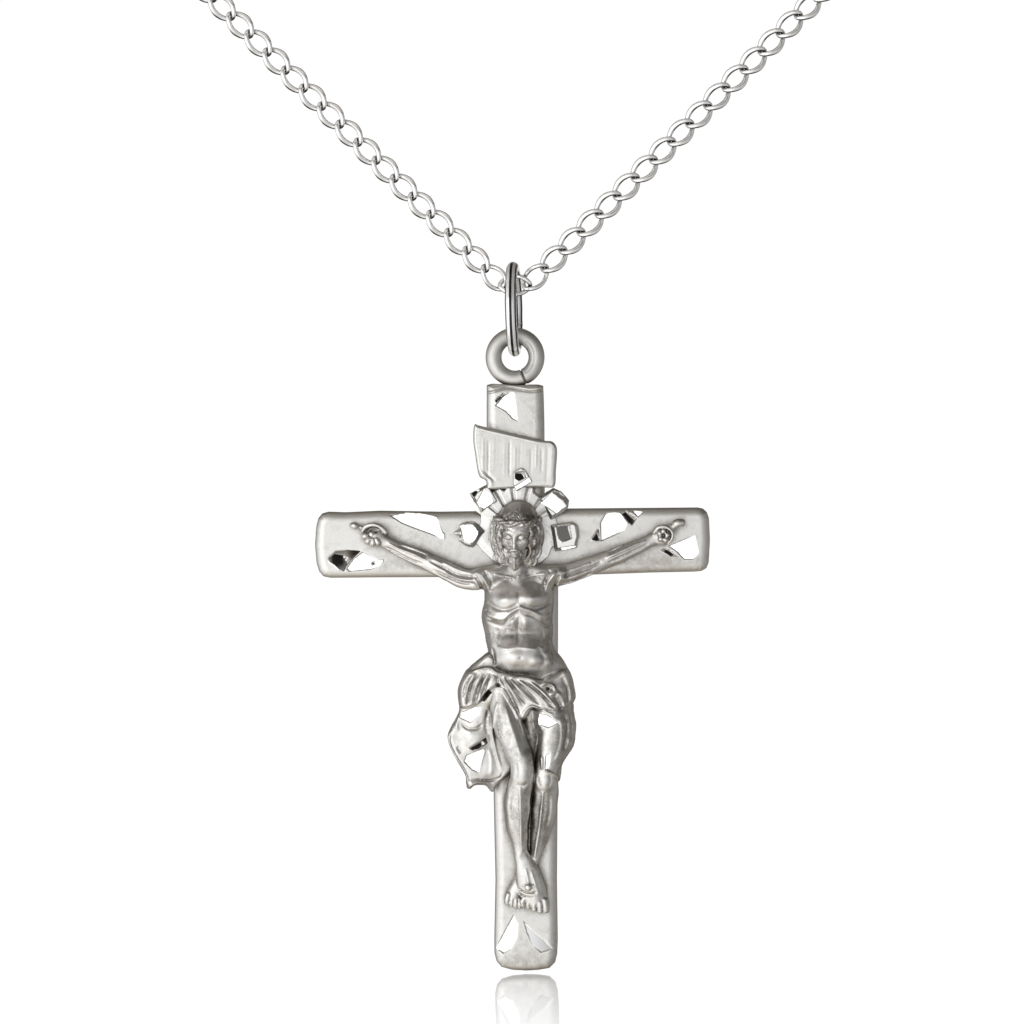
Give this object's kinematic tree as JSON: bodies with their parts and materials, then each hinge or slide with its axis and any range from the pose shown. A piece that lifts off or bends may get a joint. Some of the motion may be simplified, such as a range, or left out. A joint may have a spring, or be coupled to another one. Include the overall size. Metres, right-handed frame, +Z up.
{
  "type": "crucifix pendant on chain",
  "caption": "Small silver crucifix pendant with a soldered eye, a jump ring and the lower run of a light curb chain; every link and the ring move.",
  "frame": {"origin": "on the flat back of the cross, where the centre lines of the two beams meet", "axes": "+Z up along the upright towards the eye, +Y out of the flat back, +X towards the figure's left hand (the viewer's right), so the figure faces -Y"},
  "size_m": [0.0418, 0.0066, 0.0644],
  "materials": {
    "silver_satin": "satin",
    "silver_antique": "satin",
    "silver_bright": "polished",
    "silver_chain": "polished"
  },
  "bodies": {
    "pendant": {"cross": "silver_satin", "bail_eye": "silver_satin", "title_scroll": "silver_satin", "nimbus": "silver_satin", "corpus": "silver_antique", "nail_hand_left": "silver_satin", "nail_hand_right": "silver_satin", "nail_feet": "silver_satin"},
    "jump_ring": {"jump_ring": "silver_bright"},
    "chain_center": {"chain_center": "silver_chain"},
    "chain_left_01": {"chain_left_01": "silver_chain"},
    "chain_left_02": {"chain_left_02": "silver_chain"},
    "chain_left_03": {"chain_left_03": "silver_chain"},
    "chain_left_04": {"chain_left_04": "silver_chain"},
    "chain_left_05": {"chain_left_05": "silver_chain"},
    "chain_left_06": {"chain_left_06": "silver_chain"},
    "chain_left_07": {"chain_left_07": "silver_chain"},
    "chain_left_08": {"chain_left_08": "silver_chain"},
    "chain_left_09": {"chain_left_09": "silver_chain"},
    "chain_left_10": {"chain_left_10": "silver_chain"},
    "chain_left_11": {"chain_left_11": "silver_chain"},
    "chain_left_12": {"chain_left_12": "silver_chain"},
    "chain_left_13": {"chain_left_13": "silver_chain"},
    "chain_left_14": {"chain_left_14": "silver_chain"},
    "chain_left_15": {"chain_left_15": "silver_chain"},
    "chain_left_16": {"chain_left_16": "silver_chain"},
    "chain_left_17": {"chain_left_17": "silver_chain"},
    "chain_right_01": {"chain_right_01": "silver_chain"},
    "chain_right_02": {"chain_right_02": "silver_chain"},
    "chain_right_03": {"chain_right_03": "silver_chain"},
    "chain_right_04": {"chain_right_04": "silver_chain"},
    "chain_right_05": {"chain_right_05": "silver_chain"},
    "chain_right_06": {"chain_right_06": "silver_chain"},
    "chain_right_07": {"chain_right_07": "silver_chain"},
    "chain_right_08": {"chain_right_08": "silver_chain"},
    "chain_right_09": {"chain_right_09": "silver_chain"},
    "chain_right_10": {"chain_right_10": "silver_chain"},
    "chain_right_11": {"chain_right_11": "silver_chain"},
    "chain_right_12": {"chain_right_12": "silver_chain"},
    "chain_right_13": {"chain_right_13": "silver_chain"},
    "chain_right_14": {"chain_right_14": "silver_chain"},
    "chain_right_15": {"chain_right_15": "silver_chain"},
    "chain_right_16": {"chain_right_16": "silver_chain"},
    "chain_right_17": {"chain_right_17": "silver_chain"}
  },
  "joints": [
    {"name": "bail_swing", "type": "hinge", "parent": "pendant", "child": "jump_ring", "pos_m": [0, -0.00062, 0.01324], "axis": [1, 0, 0], "range_deg": [-60, 60]},
    {"name": "bail_tilt", "type": "hinge", "parent": "jump_ring", "child": "chain_center", "pos_m": [-0.00002, -0.00062, 0.01762], "axis": [0, 1, 0], "range_deg": [-35, 35]},
    {"name": "chain_left_01_bend", "type": "hinge", "parent": "chain_center", "child": "chain_left_01", "pos_m": [-0.0009, -0.00062, 0.01651], "axis": [-0.0123, -0.7071, -0.707], "range_deg": [-8, 45]},
    {"name": "chain_left_02_bend", "type": "hinge", "parent": "chain_left_01", "child": "chain_left_02", "pos_m": [-0.00172, -0.00062, 0.0175], "axis": [0.5073, -0.7071, 0.4926], "range_deg": [-45, 45]},
    {"name": "chain_left_03_bend", "type": "hinge", "parent": "chain_left_02", "child": "chain_left_03", "pos_m": [-0.00308, -0.00062, 0.01891], "axis": [-0.5073, -0.7071, -0.4926], "range_deg": [-45, 45]},
    {"name": "chain_left_04_bend", "type": "hinge", "parent": "chain_left_03", "child": "chain_left_04", "pos_m": [-0.00401, -0.00062, 0.01987], "axis": [-0.5073, 0.7071, -0.4926], "range_deg": [-45, 45]},
    {"name": "chain_left_05_bend", "type": "hinge", "parent": "chain_left_04", "child": "chain_left_05", "pos_m": [-0.00537, -0.00062, 0.02127], "axis": [0.5073, 0.7071, 0.4926], "range_deg": [-45, 45]},
    {"name": "chain_left_06_bend", "type": "hinge", "parent": "chain_left_05", "child": "chain_left_06", "pos_m": [-0.0063, -0.00062, 0.02223], "axis": [0.5073, -0.7071, 0.4926], "range_deg": [-45, 45]},
    {"name": "chain_left_07_bend", "type": "hinge", "parent": "chain_left_06", "child": "chain_left_07", "pos_m": [-0.00767, -0.00062, 0.02363], "axis": [-0.5073, -0.7071, -0.4926], "range_deg": [-45, 45]},
    {"name": "chain_left_08_bend", "type": "hinge", "parent": "chain_left_07", "child": "chain_left_08", "pos_m": [-0.0086, -0.00062, 0.02459], "axis": [-0.5073, 0.7071, -0.4926], "range_deg": [-45, 45]},
    {"name": "chain_left_09_bend", "type": "hinge", "parent": "chain_left_08", "child": "chain_left_09", "pos_m": [-0.00996, -0.00062, 0.02599], "axis": [0.5073, 0.7071, 0.4926], "range_deg": [-45, 45]},
    {"name": "chain_left_10_bend", "type": "hinge", "parent": "chain_left_09", "child": "chain_left_10", "pos_m": [-0.01089, -0.00062, 0.02695], "axis": [0.5073, -0.7071, 0.4926], "range_deg": [-45, 45]},
    {"name": "chain_left_11_bend", "type": "hinge", "parent": "chain_left_10", "child": "chain_left_11", "pos_m": [-0.01226, -0.00062, 0.02836], "axis": [-0.5073, -0.7071, -0.4926], "range_deg": [-45, 45]},
    {"name": "chain_left_12_bend", "type": "hinge", "parent": "chain_left_11", "child": "chain_left_12", "pos_m": [-0.01319, -0.00062, 0.02931], "axis": [-0.5073, 0.7071, -0.4926], "range_deg": [-45, 45]},
    {"name": "chain_left_13_bend", "type": "hinge", "parent": "chain_left_12", "child": "chain_left_13", "pos_m": [-0.01455, -0.00062, 0.03072], "axis": [0.5073, 0.7071, 0.4926], "range_deg": [-45, 45]},
    {"name": "chain_left_14_bend", "type": "hinge", "parent": "chain_left_13", "child": "chain_left_14", "pos_m": [-0.01548, -0.00062, 0.03168], "axis": [0.5073, -0.7071, 0.4926], "range_deg": [-45, 45]},
    {"name": "chain_left_15_bend", "type": "hinge", "parent": "chain_left_14", "child": "chain_left_15", "pos_m": [-0.01684, -0.00062, 0.03308], "axis": [-0.5073, -0.7071, -0.4926], "range_deg": [-45, 45]},
    {"name": "chain_left_16_bend", "type": "hinge", "parent": "chain_left_15", "child": "chain_left_16", "pos_m": [-0.01777, -0.00062, 0.03404], "axis": [-0.5073, 0.7071, -0.4926], "range_deg": [-45, 45]},
    {"name": "chain_left_17_bend", "type": "hinge", "parent": "chain_left_16", "child": "chain_left_17", "pos_m": [-0.01914, -0.00062, 0.03544], "axis": [0.5073, 0.7071, 0.4926], "range_deg": [-45, 45]},
    {"name": "chain_right_01_bend", "type": "hinge", "parent": "chain_center", "child": "chain_right_01", "pos_m": [0.00105, -0.00062, 0.01647], "axis": [-0.0123, 0.7071, -0.707], "range_deg": [-8, 45]},
    {"name": "chain_right_02_bend", "type": "hinge", "parent": "chain_right_01", "child": "chain_right_02", "pos_m": [0.0019, -0.00062, 0.01744], "axis": [0.4898, -0.7071, -0.51], "range_deg": [-45, 45]},
    {"name": "chain_right_03_bend", "type": "hinge", "parent": "chain_right_02", "child": "chain_right_03", "pos_m": [0.00331, -0.00062, 0.0188], "axis": [0.4898, 0.7071, -0.51], "range_deg": [-45, 45]},
    {"name": "chain_right_04_bend", "type": "hinge", "parent": "chain_right_03", "child": "chain_right_04", "pos_m": [0.00428, -0.00062, 0.01972], "axis": [-0.4898, 0.7071, 0.51], "range_deg": [-45, 45]},
    {"name": "chain_right_05_bend", "type": "hinge", "parent": "chain_right_04", "child": "chain_right_05", "pos_m": [0.00569, -0.00062, 0.02108], "axis": [-0.4898, -0.7071, 0.51], "range_deg": [-45, 45]},
    {"name": "chain_right_06_bend", "type": "hinge", "parent": "chain_right_05", "child": "chain_right_06", "pos_m": [0.00665, -0.00062, 0.022], "axis": [0.4898, -0.7071, -0.51], "range_deg": [-45, 45]},
    {"name": "chain_right_07_bend", "type": "hinge", "parent": "chain_right_06", "child": "chain_right_07", "pos_m": [0.00806, -0.00062, 0.02336], "axis": [0.4898, 0.7071, -0.51], "range_deg": [-45, 45]},
    {"name": "chain_right_08_bend", "type": "hinge", "parent": "chain_right_07", "child": "chain_right_08", "pos_m": [0.00903, -0.00062, 0.02428], "axis": [-0.4898, 0.7071, 0.51], "range_deg": [-45, 45]},
    {"name": "chain_right_09_bend", "type": "hinge", "parent": "chain_right_08", "child": "chain_right_09", "pos_m": [0.01044, -0.00062, 0.02564], "axis": [-0.4898, -0.7071, 0.51], "range_deg": [-45, 45]},
    {"name": "chain_right_10_bend", "type": "hinge", "parent": "chain_right_09", "child": "chain_right_10", "pos_m": [0.0114, -0.00062, 0.02656], "axis": [0.4898, -0.7071, -0.51], "range_deg": [-45, 45]},
    {"name": "chain_right_11_bend", "type": "hinge", "parent": "chain_right_10", "child": "chain_right_11", "pos_m": [0.01281, -0.00062, 0.02792], "axis": [0.4898, 0.7071, -0.51], "range_deg": [-45, 45]},
    {"name": "chain_right_12_bend", "type": "hinge", "parent": "chain_right_11", "child": "chain_right_12", "pos_m": [0.01378, -0.00062, 0.02884], "axis": [-0.4898, 0.7071, 0.51], "range_deg": [-45, 45]},
    {"name": "chain_right_13_bend", "type": "hinge", "parent": "chain_right_12", "child": "chain_right_13", "pos_m": [0.01519, -0.00062, 0.0302], "axis": [-0.4898, -0.7071, 0.51], "range_deg": [-45, 45]},
    {"name": "chain_right_14_bend", "type": "hinge", "parent": "chain_right_13", "child": "chain_right_14", "pos_m": [0.01615, -0.00062, 0.03112], "axis": [0.4898, -0.7071, -0.51], "range_deg": [-45, 45]},
    {"name": "chain_right_15_bend", "type": "hinge", "parent": "chain_right_14", "child": "chain_right_15", "pos_m": [0.01756, -0.00062, 0.03248], "axis": [0.4898, 0.7071, -0.51], "range_deg": [-45, 45]},
    {"name": "chain_right_16_bend", "type": "hinge", "parent": "chain_right_15", "child": "chain_right_16", "pos_m": [0.01853, -0.00062, 0.03341], "axis": [-0.4898, 0.7071, 0.51], "range_deg": [-45, 45]},
    {"name": "chain_right_17_bend", "type": "hinge", "parent": "chain_right_16", "child": "chain_right_17", "pos_m": [0.01994, -0.00062, 0.03476], "axis": [-0.4898, -0.7071, 0.51], "range_deg": [-45, 45]}
  ]
}
